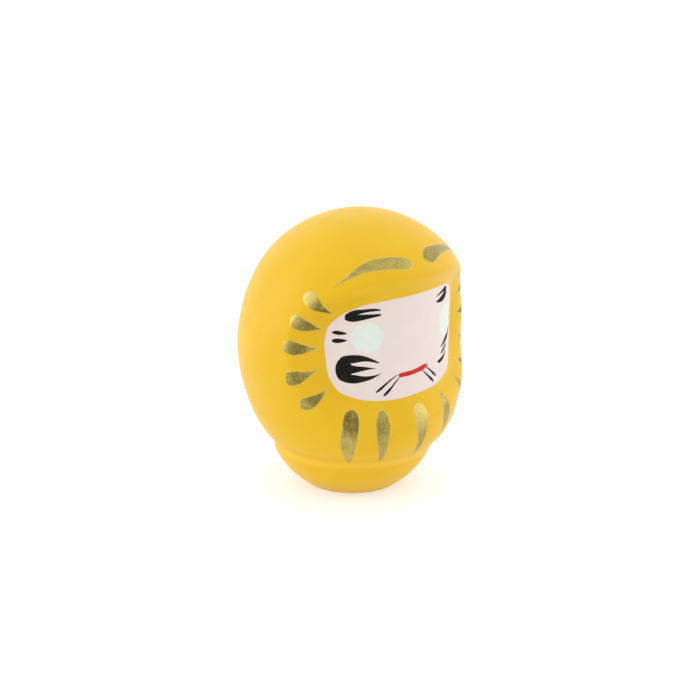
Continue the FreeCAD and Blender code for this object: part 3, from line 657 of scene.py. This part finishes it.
def teardrop(head, middle, tip, wide):
    """A cheek stroke: round at its head and thin at its tip."""
    stroke = []
    for share, fat in TEARDROP:
        first, second, third = (1 - share) ** 2, 2 * (1 - share) * share, share ** 2
        bend = [2 * m - 0.5 * (h + t) for h, m, t in zip(head, middle, tip)]
        stroke.append((first * head[0] + second * bend[0] + third * tip[0],
                       first * head[1] + second * bend[1] + third * tip[1], fat * wide))
    return stroke


def on_skin(x, up, anchor):
    """Azimuth of a point given in the plane that faces the anchor azimuth."""
    azimuth = np.full(np.shape(x), math.radians(anchor))
    for _ in range(25):
        reach = sunk(bare_reach(azimuth, up), azimuth, up)
        azimuth = math.radians(anchor) + np.arcsin(np.clip(x / reach, -0.99, 0.99))
    return azimuth


def laid(x, up, height, anchor):
    """Points on the doll's surface, raised by a height along its normal."""
    azimuth = on_skin(x, up, anchor)
    return skin(azimuth, up) + height[..., None] * skin_normal(azimuth, up)


def brush_grid(stroke, anchor, thick, ragged):
    """A brush stroke as a grid of points; its uv is the share along it and the distance from its edge."""
    flat = []
    for azimuth, up, _ in stroke:
        angle = math.radians(azimuth)
        reach = float(sunk(bare_reach(angle, up), angle, up))
        flat.append((reach * math.sin(angle - math.radians(anchor)), up))
    flat = np.array(flat)
    halves = np.array([point[2] for point in stroke])
    run = np.concatenate([[0.0], np.cumsum(np.hypot(*np.diff(flat, axis=0).T))])
    rows, columns = 64, 15
    share = 0.5 - 0.5 * np.cos(np.linspace(0.0, math.pi, rows))
    here = share * run[-1]
    along_x = natural_spline(run, flat[:, 0])
    along_z = natural_spline(run, flat[:, 1])
    direction = np.stack([along(here + 0.01) - along(here - 0.01) for along in (along_x, along_z)])
    direction /= np.linalg.norm(direction, axis=0)
    half = np.maximum(natural_spline(run, halves)(here), 0.02)
    for end, gone in ((halves[0], here), (halves[-1], run[-1] - here)):
        half = half * np.sqrt(np.maximum(1.0 - np.maximum(1.0 - gone / end, 0.0) ** 2, 0.0))
    wander = np.sin(here * 2.3 + anchor) + 0.6 * np.sin(here * 5.1 + 2.0 * anchor)
    half = half * (1.0 + ragged * wander)
    across = np.sin(np.linspace(-math.pi / 2, math.pi / 2, columns))
    x = along_x(here)[:, None] - direction[1][:, None] * half[:, None] * across
    z = along_z(here)[:, None] + direction[0][:, None] * half[:, None] * across
    inside = half[:, None] * (1.0 - np.abs(across))
    ends = np.minimum(here, run[-1] - here)[:, None]
    depth = np.minimum(inside, ends)
    height = thick * smooth(depth / 0.3) + EDGE_STEP * (depth > 0) - EDGE_SUNK
    points = laid(x, z, height, anchor)
    uv = np.stack([np.broadcast_to(share[:, None], depth.shape), np.minimum(depth / 2.0, 1.0)], axis=-1)
    return points.reshape(-1, 3), uv.reshape(-1, 2), rows, columns


def oval_fan(shape, anchor, thick):
    """A filled oval as rings of points about its centre."""
    (azimuth, up), half_across, half_up = shape
    angle = math.radians(azimuth)
    reach = float(sunk(bare_reach(angle, up), angle, up))
    rows, columns = 12, 72
    share = np.linspace(0.06, 1.0, rows)[:, None]
    turn = np.linspace(0.0, 2.0 * math.pi, columns, endpoint=False)[None, :]
    around = angle - math.radians(anchor) + half_across * share * np.cos(turn) / reach
    x = reach * np.sin(around)
    z = up + half_up * share * np.sin(turn)
    depth = (1.0 - share) * half_up + 0.0 * turn
    height = thick * smooth(depth / 0.35) + EDGE_STEP * (depth > 0) - EDGE_SUNK
    uv = np.stack([share + 0.0 * turn, np.minimum(depth / 2.0, 1.0)], axis=-1)
    return laid(x, z, height, anchor).reshape(-1, 3), uv.reshape(-1, 2), rows, columns


def paint(node, strokes, material, slot, thick, ragged=0.0, ovals=()):
    """One painted mark, as one piece that stands for its CAD film."""
    azimuths = [point[0] for stroke in strokes for point in stroke] + [shape[0][0] for shape in ovals]
    anchor = 0.5 * (min(azimuths) + max(azimuths))
    points, uvs, faces = [], [], []
    start = 0
    for stroke in strokes:
        grid, uv, rows, columns = brush_grid(stroke, anchor, thick, ragged)
        points.append(grid)
        uvs.append(uv)
        faces += grid_faces(rows, columns, start)
        start += len(grid)
    for shape in ovals:
        fan, uv, rows, columns = oval_fan(shape, anchor, thick)
        points.append(fan)
        uvs.append(uv)
        faces += grid_faces(rows, columns, start, closed=True)
        faces.append(tuple(start + j for j in reversed(range(columns))))
        start += len(fan)
    piece = mesh(node + "_paint", np.vstack(points), faces, material, np.vstack(uvs))
    return finish_piece(piece, slot, node)


def make_face_coat():
    """The pale coat that fills the sunken face, a little proud of the yellow round its edge."""
    rows, columns = 60, 240
    share = np.concatenate([np.linspace(0.0, 0.985, rows)[1:], [1.0]])[:, None]
    turn = np.linspace(0.0, 2.0 * math.pi, columns, endpoint=False)[None, :]
    wander = 1.0 + 0.004 * np.sin(7 * turn + 0.5) + 0.003 * np.sin(17 * turn)
    across, climb = np.cos(turn), np.sin(turn)
    sides = np.sign(across) * np.abs(across) ** (2.0 / FACE_POWER) * FACE_HALF_WIDTH * share * wander
    ends = np.sign(climb) * np.abs(climb) ** (2.0 / FACE_POWER) * FACE_HALF_HEIGHT * share * wander
    around = sides * math.cos(FACE_TILT) - ends * math.sin(FACE_TILT)
    up = FACE_CENTRE_UP + sides * math.sin(FACE_TILT) + ends * math.cos(FACE_TILT)
    azimuth = around / FACE_RADIUS
    height = np.where(share < 0.99, COAT_PROUD, -COAT_SUNK) + 0.0 * turn
    points = skin(azimuth, up) + height[..., None] * skin_normal(azimuth, up)
    faces = grid_faces(rows, columns, closed=True)
    middle = skin(np.array([0.0]), np.array([FACE_CENTRE_UP]))
    middle = middle + COAT_PROUD * skin_normal(0.0, FACE_CENTRE_UP)
    faces += [((j + 1) % columns, j, rows * columns) for j in range(columns)]
    piece = mesh("face_coat_paint", np.vstack([points.reshape(-1, 3), middle]), faces, FACE_PAINT)
    return finish_piece(piece, "face_paint", "face_coat")


def make_marks():
    paint("eye_white_right", [], EYE_PAINT, "eye_paint", MARK_THICK, ovals=[EYE_RIGHT])
    paint("eye_white_left", [], EYE_PAINT, "eye_paint", MARK_THICK, ovals=[EYE_LEFT])
    paint("black_brow_right", BROW_RIGHT, BLACK_PAINT, "black_paint", MARK_THICK)
    paint("black_brow_left", BROW_LEFT, BLACK_PAINT, "black_paint", MARK_THICK)
    paint("beard_right", BEARD_RIGHT, BLACK_PAINT, "black_paint", MARK_THICK, ovals=[BEARD_BLOB_RIGHT])
    for place, stroke in zip(("upper", "middle", "lower"), BEARD_LEFT):
        paint("beard_left_" + place, [stroke], BLACK_PAINT, "black_paint", MARK_THICK)
    paint("mouth", [MOUTH], RED_PAINT, "red_paint", MOUTH_THICK, MOUTH_RAGGED)
    for place, right, left in zip(("upper", "lower"), WHISKERS_RIGHT, WHISKERS_LEFT):
        paint("whisker_right_" + place, [right], BLACK_PAINT, "black_paint", MARK_THICK)
        paint("whisker_left_" + place, [left], BLACK_PAINT, "black_paint", MARK_THICK)
    for place, right, left in zip(("upper", "lower"), DASHES_RIGHT, DASHES_LEFT):
        paint("temple_dash_right_" + place, [right], BLACK_PAINT, "black_paint", MARK_THICK)
        paint("temple_dash_left_" + place, [left], BLACK_PAINT, "black_paint", MARK_THICK)
    coat = gold_paint("brow_right", BROW_RIGHT_REFLECTION_TONES, SIDEWAYS)
    paint("gold_brow_right", [GOLD_BROW_RIGHT], coat, "gold_paint", GOLD_THICK, GOLD_RAGGED)
    coat = gold_paint("brow_left", BROW_LEFT_REFLECTION_TONES, SIDEWAYS)
    paint("gold_brow_left", [GOLD_BROW_LEFT], coat, "gold_paint", GOLD_THICK, GOLD_RAGGED)
    for number, (right, left) in enumerate(zip(CHEEKS_RIGHT, CHEEKS_LEFT)):
        name = "cheek_%d" % (number + 1)
        coat = gold_paint(name, CHEEK_REFLECTION_TONES[number], SIDEWAYS)
        for side, cheek in (("right", right), ("left", left)):
            node = "gold_cheek_%s_%d" % (side, number + 1)
            paint(node, [teardrop(*cheek)], coat, "gold_paint", GOLD_THICK, GOLD_RAGGED)
    for number, stroke in enumerate(CHINS):
        coat = gold_paint("chin_%d" % (number + 1), CHIN_REFLECTION_TONES[number], DOWNWARDS)
        paint("gold_chin_%d" % (number + 1), [stroke], coat, "gold_paint", GOLD_THICK, GOLD_RAGGED)


make_face_coat()
make_marks()

for hidden in ("back_slit_glue", "glue_ring"):
    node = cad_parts[hidden]
    node.data.materials.clear()
    node.data.materials.append(GLUE)

# ---------------------------------------------------------------- floor, light and camera
VIEW_AZIMUTH = math.radians(38.3)
VIEW_ELEVATION = math.radians(15.6)
VIEW_DISTANCE = 450.0
VIEW_TARGET = Vector((0.0, 0.0, 45.0))
VIEW_LENS = 68.2
AIM_RIGHT = -0.83
AIM_UP = 0.73
SURROUND = 1.42
DARK_SIDE = 0.60
DARK_AZIMUTH = math.radians(44.0)
DARK_ELEVATION = math.radians(11.0)
DARK_EDGES = (0.72, 0.97)
FLOOR_LOW = (0.57, 0.57, 0.57)
FLOOR_HIGH = (0.58, 0.58, 0.58)
FLOOR_GLOW = 0.46
FLOOR_HALF = 9000.0
# each lamp: name, place and size in mm, power in watts
LAMPS = [
    ("left", (-600.0, 330.0, 160.0), 500.0, 1.1),
    ("right", (700.0, -400.0, 300.0), 400.0, 0.5),
]


def make_floor():
    """A pale table lit a little from below, so that the doll's shadow stays faint."""
    material, tree, shader = new_material("pale_floor")
    tone = ramp(tree, noise(tree, 3.0, 2.0), [(0.2, FLOOR_LOW), (0.8, FLOOR_HIGH)])
    tree.links.new(tone, shader.inputs["Base Color"])
    shader.inputs["Roughness"].default_value = 0.9
    shader.inputs["Emission Color"].default_value = (1.0, 1.0, 1.0, 1.0)
    shader.inputs["Emission Strength"].default_value = FLOOR_GLOW
    corners = [(x * FLOOR_HALF, y * FLOOR_HALF, 0) for x, y in ((-1, -1), (1, -1), (1, 1), (-1, 1))]
    floor = mesh("floor", corners, [(0, 1, 2, 3)], material)


def aimed(obj, place, target):
    obj.location = place * MM
    obj.rotation_euler = (target - place).to_track_quat("-Z", "Y").to_euler()


def soft_light(name, place, size, power):
    data = bpy.data.lights.new(name, "AREA")
    data.shape = "DISK"
    data.size = size * MM
    data.energy = power
    lamp = bpy.data.objects.new(name, data)
    bpy.context.scene.collection.objects.link(lamp)
    aimed(lamp, Vector(place), VIEW_TARGET)


def make_light():
    """A white surround, darker on the side the camera looks from, as behind a camera in a light tent."""
    world = bpy.data.worlds.new("studio")
    bpy.context.scene.world = world
    world.use_nodes = True
    tree = world.node_tree
    place = tree.nodes.new("ShaderNodeTexCoord")
    facing = tree.nodes.new("ShaderNodeVectorMath")
    facing.operation = "DOT_PRODUCT"
    level = math.cos(DARK_ELEVATION)
    facing.inputs[1].default_value = (-math.sin(DARK_AZIMUTH) * level, -math.cos(DARK_AZIMUTH) * level,
                                      math.sin(DARK_ELEVATION))
    tree.links.new(place.outputs["Generated"], facing.inputs[0])
    shade = spread(tree, facing.outputs["Value"], SURROUND, DARK_SIDE, *DARK_EDGES)
    background = tree.nodes["Background"]
    background.inputs["Color"].default_value = (1.0, 1.0, 1.0, 1.0)
    tree.links.new(shade, background.inputs["Strength"])
    for lamp in LAMPS:
        soft_light(*lamp)


def make_camera():
    data = bpy.data.cameras.new("camera")
    data.lens = VIEW_LENS
    data.sensor_width = 36.0
    data.clip_start = 0.01
    data.clip_end = 100.0
    camera = bpy.data.objects.new("camera", data)
    bpy.context.scene.collection.objects.link(camera)
    out = Vector((-math.sin(VIEW_AZIMUTH) * math.cos(VIEW_ELEVATION),
                  -math.cos(VIEW_AZIMUTH) * math.cos(VIEW_ELEVATION), math.sin(VIEW_ELEVATION)))
    turn = (-out).to_track_quat("-Z", "Y").to_matrix()
    right = turn @ Vector((1.0, 0.0, 0.0))
    up = turn @ Vector((0.0, 1.0, 0.0))
    place = VIEW_TARGET + VIEW_DISTANCE * out + AIM_RIGHT * right + AIM_UP * up
    camera.matrix_world = Matrix.Translation(place * MM) @ turn.to_4x4()
    bpy.context.scene.camera = camera


make_floor()
make_light()
make_camera()
bpy.context.scene.view_settings.view_transform = "Standard"
